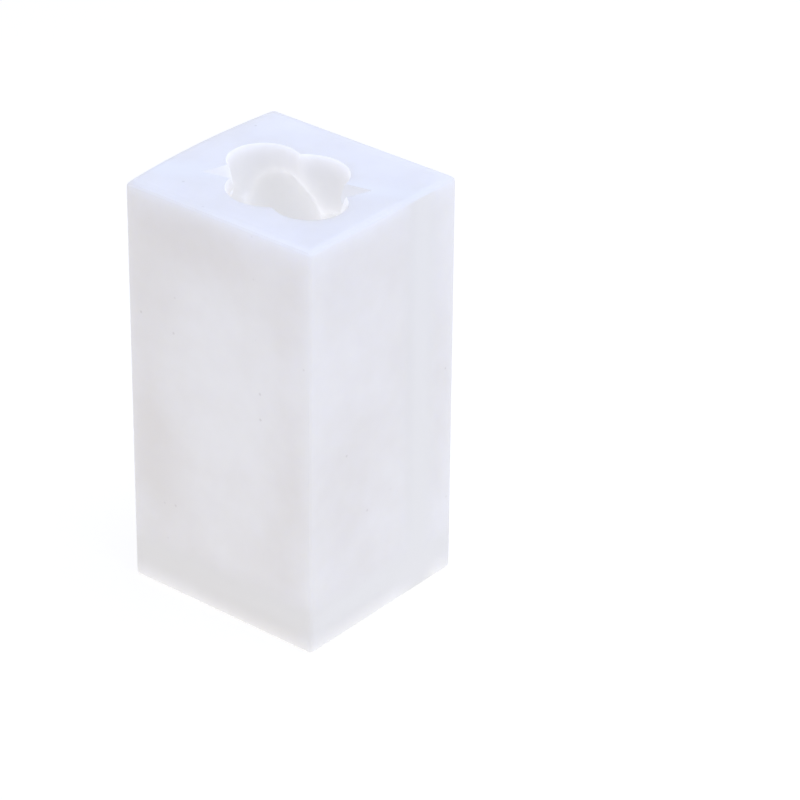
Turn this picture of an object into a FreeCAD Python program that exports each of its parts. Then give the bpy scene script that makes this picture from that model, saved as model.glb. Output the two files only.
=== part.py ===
"""Silicone mold for a braided beeswax candle.

The mold is one block of cast silicone that stands on a closed floor. A cut on each side
runs from the mouth down to the floor and divides the wall into two leaves. Each leaf
bends outward at its foot to let the candle out, and springs shut by itself.

Frame: +Z up, the origin at the middle of the underside, millimetres.
The candle is cast upside down, so its crown lies on the floor and its foot is the mouth.
"""

import FreeCAD, Part
import math
import os

import Sketcher

Vector = FreeCAD.Vector

# Driving dimensions, in millimetres, degrees or plain numbers.
DIMENSIONS = {
    "block_width": 64,
    "block_depth": 69,
    "block_height": 130,
    "back_bow": 2,
    "floor_thickness": 10,
    "wick_hole_diameter": 2.5,
    "cavity_x": -1.3,
    "cavity_y": -0.4,
    "slit_angle": 116.6,
    "notch_reach": 25.2,
    "notch_slope": 0.5,
    "notch_depth": 9,
    "strand_pairs": 4,
    "strand_orbit": 17.5,
    "strand_weave": 3.5,
    "strand_thickness": 18,
    "strand_width": 22,
    "strand_turn": 22.5,
    "weave_pitch": 26,
    "crown_height": 17,
    "crown_foot": 0.5,
    "crease_softness": 0.7,
    "mouth_blend": 24,
    "long_lobe_angle": 66,
    "long_lobe_offset": 15.5,
    "long_lobe_radius": 10.3,
    "short_lobe_angle": 170,
    "short_lobe_offset": 6.5,
    "short_lobe_radius": 12.7,
}

# How finely the cavity's surface is sampled: steps up its height and round each leaf.
LEVEL_STEPS = 90
ANGLE_STEPS = 72
SPLINE_DEGREE = 3

doc = FreeCAD.newDocument("candle_mold")
sheet = doc.addObject("Spreadsheet::Sheet", "Dimensions")
for row, (alias, value) in enumerate(DIMENSIONS.items(), start=1):
    sheet.set(f"A{row}", alias)
    sheet.set(f"B{row}", str(value))
    sheet.setAlias(f"B{row}", alias)
doc.recompute()


def size(alias):
    """A driving dimension, read from the sheet."""
    return float(sheet.get(alias))


def origin_plane(body, role):
    """One of a body's own origin planes."""
    return next(plane for plane in body.Origin.OriginFeatures if plane.Role == role)


def block_sides():
    """Where the block's right, front and back corners are, and the radius of its back side."""
    right = size("block_width") / 2
    bow = size("back_bow")
    front = -(size("block_depth") + bow) / 2
    back = front + size("block_depth")
    bow_radius = (right**2 + bow**2) / (2 * bow)
    return right, front, back, bow_radius


def outline_sketch(body):
    """The block seen from above: three straight sides and a back side that bows outward."""
    sketch = body.newObject("Sketcher::SketchObject", "block_outline")
    sketch.AttachmentSupport = [(origin_plane(body, "XY_Plane"), "")]
    sketch.MapMode = "FlatFace"
    right, front, back, bow_radius = block_sides()
    half_arc = math.asin(right / bow_radius)
    corners = [
        Vector(-right, front, 0),
        Vector(right, front, 0),
        Vector(right, back, 0),
        Vector(-right, back, 0),
    ]
    sketch.addGeometry(Part.LineSegment(corners[0], corners[1]), False)
    sketch.addGeometry(Part.LineSegment(corners[1], corners[2]), False)
    bow_centre = Vector(0, back + size("back_bow") - bow_radius, 0)
    bow_circle = Part.Circle(bow_centre, Vector(0, 0, 1), bow_radius)
    upward = math.pi / 2
    sketch.addGeometry(Part.ArcOfCircle(bow_circle, upward - half_arc, upward + half_arc), False)
    sketch.addGeometry(Part.LineSegment(corners[3], corners[0]), False)
    start, end = 1, 2
    for first, first_point, second, second_point in (
        (0, end, 1, start),
        (1, end, 2, start),
        (2, end, 3, start),
        (3, end, 0, start),
    ):
        sketch.addConstraint(
            Sketcher.Constraint("Coincident", first, first_point, second, second_point)
        )
    vertical_axis = -2
    origin = -1
    sketch.addConstraint(Sketcher.Constraint("Symmetric", 0, start, 0, end, vertical_axis))
    sketch.addConstraint(Sketcher.Constraint("Vertical", 1))
    sketch.addConstraint(Sketcher.Constraint("Vertical", 3))
    sketch.addConstraint(Sketcher.Constraint("Equal", 1, 3))
    measures = {
        "width": Sketcher.Constraint("DistanceX", 0, start, 0, end, 2 * right),
        "depth": Sketcher.Constraint("DistanceY", 1, start, 1, end, back - front),
        "front": Sketcher.Constraint("DistanceY", 0, start, origin, start, -front),
        "bow": Sketcher.Constraint("Radius", 2, bow_radius),
    }
    rules = {
        "width": "Dimensions.block_width",
        "depth": "Dimensions.block_depth",
        "front": "(Dimensions.block_depth + Dimensions.back_bow) / 2",
        "bow": "((Dimensions.block_width / 2) ^ 2 + Dimensions.back_bow ^ 2)"
        " / (2 * Dimensions.back_bow)",
    }
    for label, constraint in measures.items():
        index = sketch.addConstraint(constraint)
        sketch.renameConstraint(index, label)
        sketch.setExpression(f"Constraints.{label}", rules[label])
    return sketch


def floor():
    """The closed floor under the cavity, pierced in the middle by the wick hole."""
    body = doc.addObject("PartDesign::Body", "floor_slab")
    slab = body.newObject("PartDesign::Pad", "slab")
    slab.Profile = outline_sketch(body)
    slab.setExpression("Length", "Dimensions.floor_thickness")
    sketch = body.newObject("Sketcher::SketchObject", "wick_hole_outline")
    sketch.AttachmentSupport = [(origin_plane(body, "XY_Plane"), "")]
    sketch.MapMode = "FlatFace"
    middle = Vector(size("cavity_x"), size("cavity_y"), 0)
    radius = size("wick_hole_diameter") / 2
    sketch.addGeometry(Part.Circle(middle, Vector(0, 0, 1), radius), False)
    centre, origin, point = 3, -1, 1
    measures = {
        "left": (
            Sketcher.Constraint("DistanceX", 0, centre, origin, point, -middle.x),
            "-Dimensions.cavity_x",
        ),
        "near": (
            Sketcher.Constraint("DistanceY", 0, centre, origin, point, -middle.y),
            "-Dimensions.cavity_y",
        ),
        "hole": (
            Sketcher.Constraint("Diameter", 0, 2 * radius),
            "Dimensions.wick_hole_diameter",
        ),
    }
    for label, (constraint, rule) in measures.items():
        index = sketch.addConstraint(constraint)
        sketch.renameConstraint(index, label)
        sketch.setExpression(f"Constraints.{label}", rule)
    hole = body.newObject("PartDesign::Pocket", "wick_hole")
    hole.Profile = sketch
    hole.Type = "ThroughAll"
    hole.Midplane = True
    body.Tip = hole
    body.Label = "floor_slab"
    body.Placement = FreeCAD.Placement()
    return body


def soft_max(values):
    """The largest of the values, with the crease between two of them rounded off."""
    softness = size("crease_softness")
    largest = max(values)
    total = sum(math.exp((value - largest) / softness) for value in values)
    return largest + softness * math.log(total)


def lobe_reach(angle, lobe_angle, offset, radius):
    """Distance from the middle to the far side of a round lobe, in a given direction."""
    turn = angle - lobe_angle
    inside = radius**2 - (offset * math.sin(turn)) ** 2
    if inside < 0:
        return 0
    return offset * math.cos(turn) + math.sqrt(inside)


def mouth_reach(angle):
    """The mouth is a clover: a pair of long lobes crossed by a pair of short ones."""
    reaches = []
    for kind in ("long", "short"):
        first = math.radians(size(f"{kind}_lobe_angle"))
        for lobe_angle in (first, first + math.pi):
            reaches.append(
                lobe_reach(
                    angle, lobe_angle, size(f"{kind}_lobe_offset"), size(f"{kind}_lobe_radius")
                )
            )
    return soft_max(reaches)


def braid_reach(angle, height):
    """Distance from the middle to the braid's surface.

    Half of the strands climb one way round and half the other way. Where two cross, one
    stands out and the other dives under it, and they change places at the next crossing.
    """
    pairs = int(size("strand_pairs"))
    orbit = size("strand_orbit")
    half_thickness = size("strand_thickness") / 2
    half_width = size("strand_width") / 2
    phase = 2 * math.pi * height / size("weave_pitch")
    climb = math.atan2(pairs * size("weave_pitch"), 2 * math.pi * orbit)
    reaches = [orbit]
    for direction in (1, -1):
        centre = orbit + direction * size("strand_weave") * math.cos(phase)
        for index in range(pairs):
            strand_angle = (
                math.radians(size("strand_turn")) + (direction * phase + 2 * math.pi * index) / pairs
            )
            turn = math.remainder(angle - strand_angle, 2 * math.pi)
            across = orbit * turn * math.sin(climb) / half_width
            if abs(across) < 1:
                reaches.append(centre + half_thickness * math.sqrt(1 - across**2))
    return soft_max(reaches)


def notch_reach(angle, height):
    """The pointed start of a cut at the mouth, which runs out as it goes down."""
    to_slit = math.remainder(angle - math.radians(size("slit_angle")), math.pi)
    below_mouth = (size("block_height") - height) / size("notch_depth")
    tip = size("notch_reach") * (1 - min(below_mouth, 1) ** 2 / 2)
    slope = size("notch_slope")
    return slope * tip / (math.sin(abs(to_slit)) + slope * math.cos(to_slit))


def cavity_reach(angle, height):
    """The hollow's radius: a braid that rounds in at its crown and ends in the mouth."""
    above_crown = (height - size("floor_thickness")) / size("crown_height")
    swell = 1
    if above_crown < 1:
        foot = size("crown_foot")
        swell = foot + (1 - foot) * math.sqrt(1 - (1 - above_crown) ** 2)
    share = max(0, 1 - (size("block_height") - height) / size("mouth_blend"))
    smooth = share * share * (3 - 2 * share)
    reach = (1 - smooth) * swell * braid_reach(angle, height) + smooth * mouth_reach(angle)
    if height > size("block_height") - size("notch_depth"):
        reach = max(reach, notch_reach(angle, height))
    return reach


def clamped_knots(pole_count):
    """Even knots for a spline that starts and ends on its outermost poles."""
    spans = pole_count - SPLINE_DEGREE
    end = SPLINE_DEGREE + 1
    counts = [end] + [1] * (spans - 1) + [end]
    return counts, [index / spans for index in range(spans + 1)]


def cavity_face(first_angle):
    """The cavity's surface over half a turn, from one cut to the other."""
    bottom = size("floor_thickness")
    top = size("block_height")
    poles = []
    for level in range(LEVEL_STEPS + 1):
        height = bottom + (top - bottom) * level / LEVEL_STEPS
        row = []
        for step in range(ANGLE_STEPS + 1):
            angle = first_angle + math.pi * step / ANGLE_STEPS
            reach = cavity_reach(angle, height)
            across = Vector(math.cos(angle), math.sin(angle), 0) * reach
            row.append(Vector(size("cavity_x"), size("cavity_y"), height) + across)
        poles.append(row)
    surface = Part.BSplineSurface()
    level_counts, level_knots = clamped_knots(LEVEL_STEPS + 1)
    angle_counts, angle_knots = clamped_knots(ANGLE_STEPS + 1)
    surface.buildFromPolesMultsKnots(
        poles,
        level_counts,
        angle_counts,
        level_knots,
        angle_knots,
        False,
        False,
        SPLINE_DEGREE,
        SPLINE_DEGREE,
    )
    return surface.toShape()


def leaf_outline(side):
    """The leaf's outer edge at floor level, from the first cut round to the second.

    side is -1 for the leaf on the -X side and 1 for the other one.
    """
    right, front, back, bow_radius = block_sides()
    bottom = size("floor_thickness")
    angle = math.radians(size("slit_angle"))
    along = Vector(math.cos(angle), math.sin(angle), 0)
    middle = Vector(size("cavity_x"), size("cavity_y"), bottom)
    bow_centre = Vector(0, back + size("back_bow") - bow_radius, bottom)
    from_bow = middle - bow_centre
    lead = from_bow.dot(along)
    to_back = math.sqrt(lead**2 - from_bow.dot(from_bow) + bow_radius**2) - lead
    back_slit = middle + along * to_back
    front_slit = middle + along * ((front - middle.y) / along.y)
    front_corner = Vector(side * right, front, bottom)
    back_corner = Vector(side * right, back, bottom)
    arc_x = (back_slit.x + side * right) / 2
    arc_point = Vector(arc_x, bow_centre.y + math.sqrt(bow_radius**2 - arc_x**2), bottom)
    return [
        Part.LineSegment(front_slit, front_corner).toShape(),
        Part.LineSegment(front_corner, back_corner).toShape(),
        Part.Arc(back_corner, arc_point, back_slit).toShape(),
    ]


def flat_face(edges):
    """A flat face inside edges given in any order."""
    return Part.Face(Part.Wire(Part.__sortEdges__(edges)))


def leaf(name, side, first_angle):
    """One leaf of the wall: everything on its side of the two cuts, above the floor."""
    bottom = size("floor_thickness")
    top = size("block_height")
    rise = Vector(0, 0, top - bottom)
    inner = cavity_face(first_angle)
    outline = leaf_outline(side)
    faces = [inner] + [edge.extrude(rise) for edge in outline]
    level_edges = {bottom: list(outline), top: [edge.translated(rise) for edge in outline]}
    upright_edges = []
    for edge in inner.Edges:
        box = edge.BoundBox
        if box.ZLength > rise.z / 2:
            upright_edges.append(edge)
        elif box.ZMax > top / 2:
            level_edges[top].append(edge)
        else:
            level_edges[bottom].append(edge)
    ends = (outline[0].Vertexes[0].Point, outline[-1].Vertexes[-1].Point)
    for edge in upright_edges:
        low, high = sorted((vertex.Point for vertex in edge.Vertexes), key=lambda point: point.z)
        outer = min(ends, key=lambda point: (point - low).Length)
        foot = Part.LineSegment(low, outer).toShape()
        head = Part.LineSegment(high, outer + rise).toShape()
        corner = Part.LineSegment(outer, outer + rise).toShape()
        faces.append(flat_face([edge, foot, head, corner]))
        level_edges[bottom].append(foot)
        level_edges[top].append(head)
    faces += [flat_face(edges) for edges in level_edges.values()]
    shell = Part.makeShell(faces)
    shell.sewShape()
    piece = doc.addObject("Part::Feature", name)
    piece.Shape = Part.makeSolid(Part.Shell(shell.Faces))
    piece.Placement = FreeCAD.Placement()
    piece.Label = name
    return piece


back_cut = math.radians(size("slit_angle"))
front_cut = back_cut + math.pi
nodes = [
    floor(),
    leaf("left_leaf", -1, back_cut),
    leaf("right_leaf", 1, front_cut),
]
doc.recompute()

for item in doc.Objects:
    if "Invalid" in item.State or "Error" in item.State:
        raise RuntimeError(f"{item.Label} failed: {item.State}")

os.makedirs("parts", exist_ok=True)
for node in nodes:
    if node.Shape.isNull() or not node.Shape.isValid():
        raise RuntimeError(f"{node.Label} has no valid shape")
    node.Shape.exportStep(f"parts/{node.Label}.step")
    box = node.Shape.BoundBox
    print(
        f"{node.Label}: {len(node.Shape.Solids)} solid, {node.Shape.Volume:.0f} mm3,"
        f" X {box.XMin:.1f}..{box.XMax:.1f} Y {box.YMin:.1f}..{box.YMax:.1f}"
        f" Z {box.ZMin:.1f}..{box.ZMax:.1f}"
    )
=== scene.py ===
import math

import bpy
from mathutils import Matrix, Vector


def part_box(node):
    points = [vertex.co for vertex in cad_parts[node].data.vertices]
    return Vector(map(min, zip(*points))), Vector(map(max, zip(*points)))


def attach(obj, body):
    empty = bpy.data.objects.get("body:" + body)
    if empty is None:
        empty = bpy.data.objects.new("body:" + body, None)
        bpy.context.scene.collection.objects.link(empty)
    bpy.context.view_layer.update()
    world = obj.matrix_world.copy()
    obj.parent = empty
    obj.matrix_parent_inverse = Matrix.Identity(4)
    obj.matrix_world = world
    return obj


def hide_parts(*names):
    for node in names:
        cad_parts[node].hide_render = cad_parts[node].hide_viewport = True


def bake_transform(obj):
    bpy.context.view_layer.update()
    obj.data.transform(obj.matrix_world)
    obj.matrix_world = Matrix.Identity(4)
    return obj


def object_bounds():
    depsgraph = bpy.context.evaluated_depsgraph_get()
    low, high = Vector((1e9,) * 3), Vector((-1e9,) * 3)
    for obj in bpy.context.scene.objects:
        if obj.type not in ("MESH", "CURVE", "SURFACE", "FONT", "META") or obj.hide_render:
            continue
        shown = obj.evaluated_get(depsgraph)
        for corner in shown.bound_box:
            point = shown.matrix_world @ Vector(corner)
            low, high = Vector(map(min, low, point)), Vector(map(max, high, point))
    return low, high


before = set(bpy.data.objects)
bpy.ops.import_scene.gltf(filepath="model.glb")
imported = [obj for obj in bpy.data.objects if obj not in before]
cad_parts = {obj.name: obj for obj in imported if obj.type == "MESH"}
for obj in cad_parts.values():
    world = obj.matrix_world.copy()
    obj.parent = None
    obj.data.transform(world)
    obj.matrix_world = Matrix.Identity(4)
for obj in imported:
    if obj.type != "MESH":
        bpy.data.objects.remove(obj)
cad_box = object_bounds()

# The master: the braided candle that the silicone was poured around, standing on its crown.
# Thick strands lie over each other in four columns, with a round knob between each pair of
# columns at every level. It only shapes the hollow and isn't part of the finished mold.
MM = 0.001
block_low, block_high = cad_box
top_z = block_high.z
floor_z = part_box("floor_slab")[1].z
hollow_x, hollow_y = -1.3 * MM, -0.4 * MM
columns = 4
first_column_angle = 43
levels = 5
level_rise = 21.2 * MM
lowest_level = floor_z + 13 * MM
strand_depth, strand_width = 23 * MM, 21 * MM
strand_distance = 18.5 * MM
knob_size = (18 * MM, 20 * MM, 20 * MM)
knob_distance = 18 * MM
lowest_knob = floor_z + 10.5 * MM


def copy_of(piece, name):
    """A copy of a piece with a mesh of its own, made the only selected object."""
    copy = piece.copy()
    copy.data = piece.data.copy()
    copy.name = name
    bpy.context.scene.collection.objects.link(copy)
    bpy.ops.object.select_all(action="DESELECT")
    copy.select_set(True)
    bpy.context.view_layer.objects.active = copy
    return copy


def around(angle, distance, height):
    """A point at this distance from the hollow's own upright axis, in this direction."""
    turn = math.radians(angle)
    x = hollow_x + distance * math.cos(turn)
    y = hollow_y + distance * math.sin(turn)
    return Vector((x, y, height))


bpy.ops.object.select_all(action="DESELECT")
bpy.ops.mesh.primitive_uv_sphere_add(segments=32, ring_count=20, radius=0.5)
egg = bpy.context.object
master_parts = [egg]


def add_lobe(angle, distance, height, size, lean):
    """An egg of wax, as tall as size's Z, leaning sideways round the candle by lean degrees."""
    lobe = copy_of(egg, "lobe")
    lobe.scale = size
    lobe.rotation_euler = (math.radians(lean), 0, math.radians(angle))
    lobe.location = around(angle, distance, height)
    master_parts.append(lobe)


# The strands turn over at the crown and are cut off at the foot, so they are shorter there.
strand_lengths = [26 * MM] + [44 * MM] * (levels - 2) + [32 * MM]
# The strands of neighbouring columns lean opposite ways, and push the knobs down or up.
strand_leans = (-20, 40)
knob_lifts = (-6 * MM, 4 * MM)
for column in range(columns):
    column_angle = first_column_angle + 360 / columns * column
    knob_angle = column_angle - 180 / columns
    for level in range(levels):
        height = lowest_level + level * level_rise
        strand_size = (strand_depth, strand_width, strand_lengths[level])
        add_lobe(column_angle, strand_distance, height, strand_size, strand_leans[column % 2])
        knob_height = max(height + knob_lifts[column % 2], lowest_knob)
        add_lobe(knob_angle, knob_distance, knob_height, knob_size, 0)
# The egg that they are copied from stays in the middle, where the core hides it.
heart_width, heart_height = 30 * MM, 60 * MM
egg.scale = (heart_width, heart_width, heart_height)
egg.location = around(0, 0, (top_z + floor_z) / 2)

# The middle of the braid, where all the strands touch, tapers at the crown.
crown_radius = 11 * MM
core_radius = 17 * MM
crown_height = 6 * MM
crown_dip = 0.5 * MM
foot_depth = 11 * MM
core_low = floor_z + crown_height
core_high = top_z - foot_depth / 2
for low_radius, high_radius, low, high in (
    (crown_radius, core_radius, floor_z - crown_dip, core_low),
    (core_radius, core_radius, core_low, core_high),
):
    bpy.ops.object.select_all(action="DESELECT")
    bpy.ops.mesh.primitive_cone_add(
        vertices=48, radius1=low_radius, radius2=high_radius, depth=high - low,
        location=around(0, 0, (low + high) / 2),
    )
    master_parts.append(bpy.context.object)

# Its foot is where the strands end, cut off flat: two long lobes crossed by two short ones.
# Each flares a little at the very top, because silicone creeps up and leaves a rounded rim.
long_lobe_depth = 1.4 * foot_depth
short_lobe_depth = 2.4 * foot_depth
rim_flare = 0.6 * MM
for lobe_angle, offset, radius, depth in (
    (66, 15.5 * MM, 10.3 * MM, long_lobe_depth),
    (246, 15.5 * MM, 10.3 * MM, long_lobe_depth),
    (170, 5.6 * MM, 12.6 * MM, short_lobe_depth),
    (350, 6.5 * MM, 12.7 * MM, short_lobe_depth),
):
    bpy.ops.mesh.primitive_cylinder_add(
        vertices=64, radius=radius, depth=depth,
        location=around(lobe_angle, offset, top_z - depth / 2),
    )
    master_parts.append(bpy.context.object)
    bpy.ops.mesh.primitive_cone_add(
        vertices=64, radius1=radius, radius2=radius + 3 * rim_flare, depth=3 * rim_flare,
        location=around(lobe_angle, offset, top_z + rim_flare / 2),
    )
    master_parts.append(bpy.context.object)

bpy.ops.object.select_all(action="DESELECT")
for part in master_parts:
    part.select_set(True)
bpy.context.view_layer.objects.active = master_parts[0]
bpy.ops.object.join()
master = bpy.context.object
master.name = "candle_master"
bpy.ops.object.transform_apply(location=True, rotation=True, scale=True)
remesh = master.modifiers.new("melt_together", "REMESH")
remesh.mode = "VOXEL"
remesh.voxel_size = 0.8 * MM
soften = master.modifiers.new("soften", "SMOOTH")
soften.factor = 0.5
soften.iterations = 4
for name in ("melt_together", "soften"):
    bpy.ops.object.modifier_apply(modifier=name)


# The silicone itself: platinum-cured RTV silicone rubber, cast in an open box and left white.
# It is milky, so light goes in and comes out some millimetres away, and edges look soft.
def linear(hex_colour):
    """An sRGB hex colour as linear RGBA."""
    channels = [int(hex_colour[i:i + 2], 16) / 255 for i in (1, 3, 5)]
    return [c / 12.92 if c <= 0.04045 else ((c + 0.055) / 1.055) ** 2.4 for c in channels] + [1]


def add_node(tree, kind, inputs=None, **settings):
    """Adds a node, sets its properties, and fills or links its inputs."""
    node = tree.nodes.new(kind)
    for key, value in settings.items():
        setattr(node, key, value)
    for key, value in (inputs or {}).items():
        if isinstance(value, bpy.types.NodeSocket):
            tree.links.new(value, node.inputs[key])
        else:
            node.inputs[key].default_value = value
    return node


# The two cuts lie in one upright plane through the hollow's axis, which the finish needs too.
slit_angle = math.radians(116.6)
slit_normal = Vector((math.sin(slit_angle), -math.cos(slit_angle), 0))
drift_size = 45 * MM
wisp_size = 9 * MM
speck_spacing = 9 * MM
speck_radius = 0.27 * MM
speck_strength = 0.35
speck_colour = "#c4c0bc"
fade_start, fade_end = 1 * MM, 8 * MM
skin_grain = 1.5 * MM
skin_relief = 0.05 * MM
scatter_depth = 12 * MM


def silicone(name, thin_colour, milky_colour, painted_scatter_colour, painted_glow_colour="#ffffff", painted_glow=0.0):
    """Cast silicone. Its emission is a painted glow that stands in for the light reaching this
    surface through the wall.
    """
    material = bpy.data.materials.new(name)
    material.use_nodes = True
    tree = material.node_tree
    tree.nodes.clear()
    place = add_node(tree, "ShaderNodeTexCoord").outputs["Object"]
    # Cloudiness from mixing: slow drifts some 45 mm across, with fine wisps of about 9 mm.
    drift = add_node(
        tree, "ShaderNodeTexNoise", {"Vector": place, "Scale": 1 / drift_size, "Detail": 1}
    )
    wisps = add_node(
        tree, "ShaderNodeTexNoise", {"Vector": place, "Scale": 1 / wisp_size, "Detail": 3}
    )
    cloud = add_node(
        tree, "ShaderNodeMix", {"Factor": 0.3, "A": drift.outputs["Fac"], "B": wisps.outputs["Fac"]}
    )
    cloud = add_node(
        tree, "ShaderNodeMapRange",
        {"Value": cloud.outputs["Result"], "From Min": 0.35, "From Max": 0.65},
    )
    colour = add_node(
        tree, "ShaderNodeMix",
        {"Factor": cloud.outputs["Result"], "A": linear(thin_colour), "B": linear(milky_colour)},
        data_type="RGBA",
    )
    # Specks of lint and burst bubbles in the skin, under a millimetre across, a few per face.
    specks = add_node(tree, "ShaderNodeTexVoronoi", {"Vector": place, "Scale": 1 / speck_spacing})
    specks = add_node(
        tree, "ShaderNodeMapRange",
        {
            "Value": specks.outputs["Distance"],
            "From Min": speck_radius / speck_spacing, "From Max": 2 * speck_radius / speck_spacing,
            "To Min": speck_strength, "To Max": 0.0,
        },
    )
    colour = add_node(
        tree, "ShaderNodeMix",
        {
            "Factor": specks.outputs["Result"], "A": colour.outputs["Result"],
            "B": linear(speck_colour),
        },
        data_type="RGBA",
    )
    # Scatter fades out beside the cuts and the floor's top, where two pieces are pressed
    # together. A painted lighter colour there stands in for the light that the scatter would bring.
    from_slit = add_node(
        tree, "ShaderNodeVectorMath", {0: place, 1: (hollow_x, hollow_y, 0)}, operation="SUBTRACT"
    )
    from_slit = add_node(
        tree, "ShaderNodeVectorMath", {0: from_slit.outputs["Vector"], 1: slit_normal},
        operation="DOT_PRODUCT",
    )
    from_slit = add_node(
        tree, "ShaderNodeMath", {0: from_slit.outputs["Value"]}, operation="ABSOLUTE"
    )
    height = add_node(tree, "ShaderNodeSeparateXYZ", {"Vector": place}).outputs["Z"]
    from_floor = add_node(tree, "ShaderNodeMath", {0: height, 1: floor_z}, operation="SUBTRACT")
    from_floor = add_node(tree, "ShaderNodeMath", {0: from_floor.outputs[0]}, operation="ABSOLUTE")
    nearest = add_node(
        tree, "ShaderNodeMath", {0: from_slit.outputs[0], 1: from_floor.outputs[0]},
        operation="MINIMUM",
    )
    scatter = add_node(
        tree, "ShaderNodeMapRange",
        {
            "Value": nearest.outputs[0], "From Min": fade_start, "From Max": fade_end,
            "To Min": 0.0, "To Max": 1.0,
        },
        interpolation_type="SMOOTHSTEP",
    )
    colour = add_node(
        tree, "ShaderNodeMix",
        {
            "Factor": scatter.outputs["Result"], "A": linear(painted_scatter_colour),
            "B": colour.outputs["Result"],
        },
        data_type="RGBA",
    )
    # A cast skin: smooth and slightly greasy, with faint unevenness 1.5 mm across.
    skin = add_node(
        tree, "ShaderNodeTexNoise", {"Vector": place, "Scale": 1 / skin_grain, "Detail": 2}
    )
    bump = add_node(
        tree, "ShaderNodeBump",
        {"Height": skin.outputs["Fac"], "Strength": 0.15, "Distance": skin_relief},
    )
    shader = add_node(
        tree, "ShaderNodeBsdfPrincipled",
        {
            "Base Color": colour.outputs["Result"],
            "Roughness": 0.5,
            "IOR": 1.41,
            "Subsurface Weight": scatter.outputs["Result"],
            "Subsurface Radius": (1.0, 1.0, 1.1),
            "Subsurface Scale": scatter_depth,
            "Emission Color": linear(painted_glow_colour),
            "Emission Strength": painted_glow,
            "Normal": bump.outputs["Normal"],
        },
    )
    add_node(tree, "ShaderNodeOutputMaterial", {"Surface": shader.outputs["BSDF"]})
    return material


outer_skin = silicone(
    "silicone_rubber_cast", thin_colour="#ebe9e6", milky_colour="#f2f1f0", painted_scatter_colour="#f6f5f2"
)
# The hollow gets its own copy of the silicone, painted a darker grey and given a painted glow:
# together they stand in for the light that reaches the hollow through the wall.
hollow_painted_light_skin = silicone(
    "silicone_rubber_cast_hollow_painted_light", thin_colour="#c8c8c6", milky_colour="#d0d0ce",
    painted_scatter_colour="#d0d0ce", painted_glow_colour="#f5f5fd", painted_glow=0.355,
)

# The block, before it is cut: silicone poured into a box. The back wall of the box gave way
# by 2 mm. The liquid crept up the box's sides, so the flat top has a faint raised border.
half_width = block_high.x
front_y = block_low.y
back_bow = 2.0 * MM
back_y = block_high.y - back_bow
bow_strips = 15
border_width = 2.6 * MM
border_slope = 1.2 * MM
border_rise = 0.3 * MM
edge_round = 1.6 * MM
bpy.ops.object.select_all(action="DESELECT")
bpy.ops.mesh.primitive_cube_add(size=1, location=(0, (front_y + back_y) / 2, top_z / 2))
block = bpy.context.object
block.name = "block"
block.scale = (2 * half_width, back_y - front_y, top_z)
bpy.ops.object.transform_apply(location=True, rotation=True, scale=True)
bpy.ops.object.mode_set(mode="EDIT")
for cut in range(1, bow_strips):
    bpy.ops.mesh.select_all(action="SELECT")
    cut_x = half_width * (2 * cut / bow_strips - 1)
    bpy.ops.mesh.bisect(plane_co=(cut_x, 0, 0), plane_no=(1, 0, 0))
bpy.ops.object.mode_set(mode="OBJECT")
for vertex in block.data.vertices:
    if vertex.co.y > 0:
        vertex.co.y += back_bow * (1 - (vertex.co.x / half_width) ** 2)
bpy.ops.object.mode_set(mode="EDIT")
bpy.ops.mesh.select_all(action="DESELECT")
bpy.ops.object.mode_set(mode="OBJECT")
for face in block.data.polygons:
    face.select = face.normal.z > 0.9
bpy.ops.object.mode_set(mode="EDIT")
bpy.ops.mesh.inset(thickness=border_width)
bpy.ops.mesh.inset(thickness=border_slope)
bpy.ops.transform.translate(value=(0, 0, -border_rise))
bpy.ops.object.mode_set(mode="OBJECT")
edges = block.modifiers.new("cast_edges", "BEVEL")
edges.width = edge_round
edges.segments = 3
edges.angle_limit = math.radians(60)
bpy.ops.object.modifier_apply(modifier="cast_edges")
block.data.materials.append(outer_skin)
master.data.materials.append(hollow_painted_light_skin)


def carve(piece, cutter):
    """Takes the cutter's shape out of the piece, and keeps the cutter's material there."""
    carving = piece.modifiers.new("carve", "BOOLEAN")
    carving.operation = "DIFFERENCE"
    carving.solver = "EXACT"
    carving.material_mode = "TRANSFER"
    carving.object = cutter
    bpy.context.view_layer.objects.active = piece
    bpy.ops.object.modifier_apply(modifier="carve")


carve(block, master)
bpy.data.objects.remove(master)

# The cuts: a knife goes in at the mouth on two opposite sides, and the silicone's own pull
# leaves each start open as a short pointed notch that runs out about 9 mm down. The knife was
# held askew, so both notches open wider on their clockwise side.
# The notch faces get their own copy of the silicone, painted a darker grey and given a painted glow
# that stands in for the light reaching them through the wall.
notch_painted_light_skin = silicone(
    "silicone_rubber_knife_cut_painted_light", thin_colour="#d2d2d0", milky_colour="#d8d8d6",
    painted_scatter_colour="#d6d6d4", painted_glow_colour="#f5f5fd", painted_glow=0.28,
)
notch_tip = 25.2 * MM
notch_length = 14 * MM
notch_half_width = 8 * MM
notch_depth = 9 * MM
notch_skew = math.radians(15)
# A three-sided cone, point down and half above the block, is 1 in radius at the top face.
triangle_length, triangle_half_width = 1.5, math.sqrt(3) / 2
for cut_angle in (slit_angle, slit_angle + math.pi):
    bpy.ops.object.select_all(action="DESELECT")
    bpy.ops.mesh.primitive_cone_add(vertices=3, radius1=0, radius2=2, depth=2 * notch_depth)
    notch = bpy.context.object
    notch.scale = (notch_half_width / triangle_half_width, notch_length / triangle_length, 1)
    heading = cut_angle + notch_skew
    notch.rotation_euler = (0, 0, heading - math.pi / 2)
    to_tip = notch_length / triangle_length * Vector((math.cos(heading), math.sin(heading), 0))
    notch.location = around(math.degrees(cut_angle), notch_tip, top_z) - to_tip
    bpy.ops.object.transform_apply(location=True, rotation=True, scale=True)
    notch.data.materials.append(notch_painted_light_skin)
    carve(block, notch)
    bpy.data.objects.remove(notch)

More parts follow.
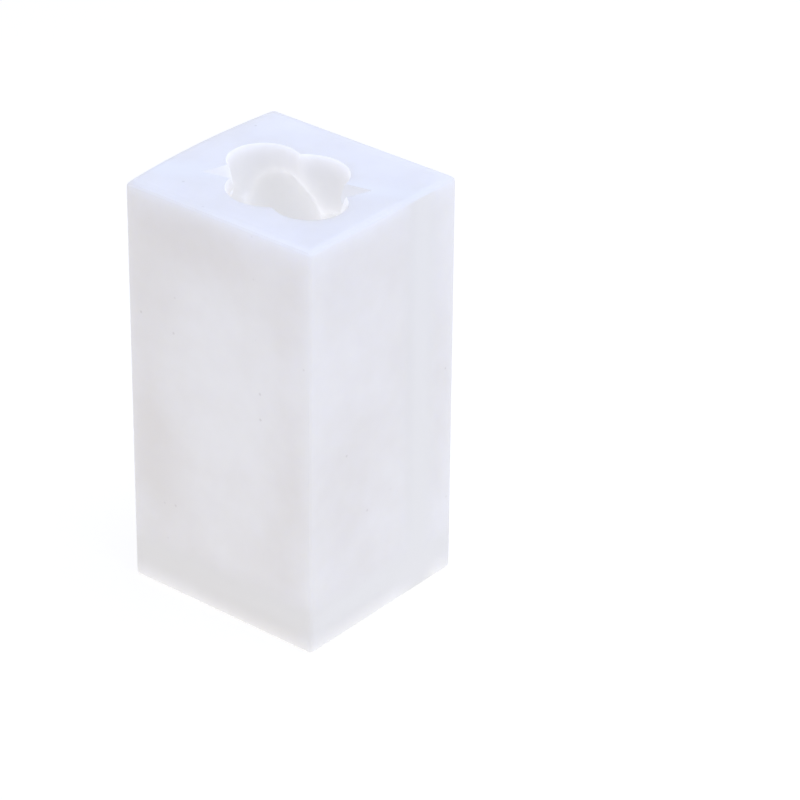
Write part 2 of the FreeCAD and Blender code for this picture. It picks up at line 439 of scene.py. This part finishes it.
# Carving leaves a few slivers along the rim, too thin to see.
sliver = 0.01 * MM
bpy.context.view_layer.objects.active = block
block.select_set(True)
bpy.ops.object.mode_set(mode="EDIT")
bpy.ops.mesh.select_all(action="SELECT")
bpy.ops.mesh.remove_doubles(threshold=sliver)
bpy.ops.mesh.dissolve_degenerate(threshold=sliver)
bpy.ops.object.mode_set(mode="OBJECT")


def slice_off(point, normal):
    """Cuts the active piece along a plane, drops what lies on the normal's side, caps it."""
    bpy.ops.object.mode_set(mode="EDIT")
    bpy.ops.mesh.select_all(action="SELECT")
    bpy.ops.mesh.bisect(
        plane_co=point, plane_no=normal, use_fill=True, clear_outer=True, threshold=1e-7
    )
    bpy.ops.object.mode_set(mode="OBJECT")


# The floor slab: the bottom 10 mm of the block, which no cut reaches. A needle pushed
# through its middle left the 2.5 mm hole that the wick is threaded through.
wick_hole = 2.5 * MM
smooth_below = math.radians(25)
floor_slab = copy_of(block, "silicone_floor")
slice_off((0, 0, floor_z), (0, 0, 1))
bpy.ops.mesh.primitive_cylinder_add(
    vertices=32, radius=wick_hole / 2, depth=4 * floor_z,
    location=(hollow_x, hollow_y, floor_z / 2),
)
needle = bpy.context.object
needle.data.materials.append(hollow_painted_light_skin)
bpy.ops.object.transform_apply(location=True, rotation=True, scale=True)
carve(floor_slab, needle)
bpy.data.objects.remove(needle)
bpy.ops.object.shade_smooth_by_angle(angle=smooth_below)
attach(floor_slab, "floor")
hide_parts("floor_slab")

# The two leaves: the wall above the floor, parted by the cuts. They are still one casting
# with the floor, and each is sliced into strips at its foot, where the real one bends like a thick
# hinge.
bend_height = 46 * MM
bend_strips = 14
for leaf_name, body, away in (
    ("silicone_left_leaf", "left_leaf", slit_normal),
    ("silicone_right_leaf", "right_leaf", -slit_normal),
):
    leaf = copy_of(block, leaf_name)
    slice_off((hollow_x, hollow_y, 0), away)
    slice_off((0, 0, floor_z), (0, 0, -1))
    bpy.ops.object.mode_set(mode="EDIT")
    for cut in range(1, bend_strips):
        bpy.ops.mesh.select_all(action="SELECT")
        cut_height = floor_z + bend_height * cut / bend_strips
        bpy.ops.mesh.bisect(plane_co=(0, 0, cut_height), plane_no=(0, 0, 1))
    bpy.ops.object.mode_set(mode="OBJECT")
    bpy.ops.object.shade_smooth_by_angle(angle=smooth_below)
    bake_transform(leaf)
    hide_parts(body)
bpy.data.objects.remove(block)

# The studio: a seamless white sweep, lit evenly from all round, with one large soft box above
# whose cool daylight tints the top of the block.
bpy.ops.object.select_all(action="DESELECT")
bpy.ops.mesh.primitive_plane_add(size=8)
sweep = bpy.context.object
sweep.name = "studio_floor"
paper = bpy.data.materials.new("white_sweep_paper")
paper.use_nodes = True
paper.node_tree.nodes.clear()
paper_shader = add_node(
    paper.node_tree, "ShaderNodeBsdfPrincipled",
    {
        "Base Color": linear("#a8a8a8"), "Roughness": 0.8,
        "Emission Color": linear("#ffffff"), "Emission Strength": 0.70,
    },
)
add_node(paper.node_tree, "ShaderNodeOutputMaterial", {"Surface": paper_shader.outputs["BSDF"]})
sweep.data.materials.append(paper)

world = bpy.data.worlds.new("studio_light")
bpy.context.scene.world = world
world.use_nodes = True
world.node_tree.nodes["Background"].inputs["Color"].default_value = linear("#fff9f9")
world.node_tree.nodes["Background"].inputs["Strength"].default_value = 0.52
soft_box = bpy.data.lights.new("soft_box_above", "AREA")
soft_box.size = 0.9
soft_box.energy = 7.4
soft_box.color = linear("#bfd5ff")[:3]
lamp = bpy.data.objects.new("soft_box_above", soft_box)
bpy.context.scene.collection.objects.link(lamp)
lamp.location = (0.08, -0.20, 1.0)
aim = Vector((0, 0, top_z / 2)) - lamp.location
lamp.rotation_euler = aim.to_track_quat("-Z", "Y").to_euler()
bpy.context.scene.view_settings.view_transform = "Standard"

# The camera stands at the front left corner, a little over a metre away, and looks down at
# the block through a long lens. Its own axes are worked out from how far it is turned,
# tipped and rolled.
yaw, pitch, roll = math.radians(50.79), math.radians(29.47), math.radians(0.59)
forward = Vector((
    math.cos(pitch) * math.sin(yaw),
    math.cos(pitch) * math.cos(yaw),
    -math.sin(pitch),
))
level_right = Vector((math.cos(yaw), -math.sin(yaw), 0))
level_up = level_right.cross(forward)
right = math.cos(roll) * level_right + math.sin(roll) * level_up
up = math.cos(roll) * level_up - math.sin(roll) * level_right
camera = bpy.data.objects.new("camera", bpy.data.cameras.new("camera"))
bpy.context.scene.collection.objects.link(camera)
camera.data.sensor_width = 36
camera.data.lens = 174.5
camera.data.clip_end = 20
place = Vector((-0.7420, -0.6468, 0.6143))
camera.matrix_world = Matrix.Translation(place) @ Matrix((right, up, -forward)).transposed().to_4x4()
bpy.context.scene.camera = camera
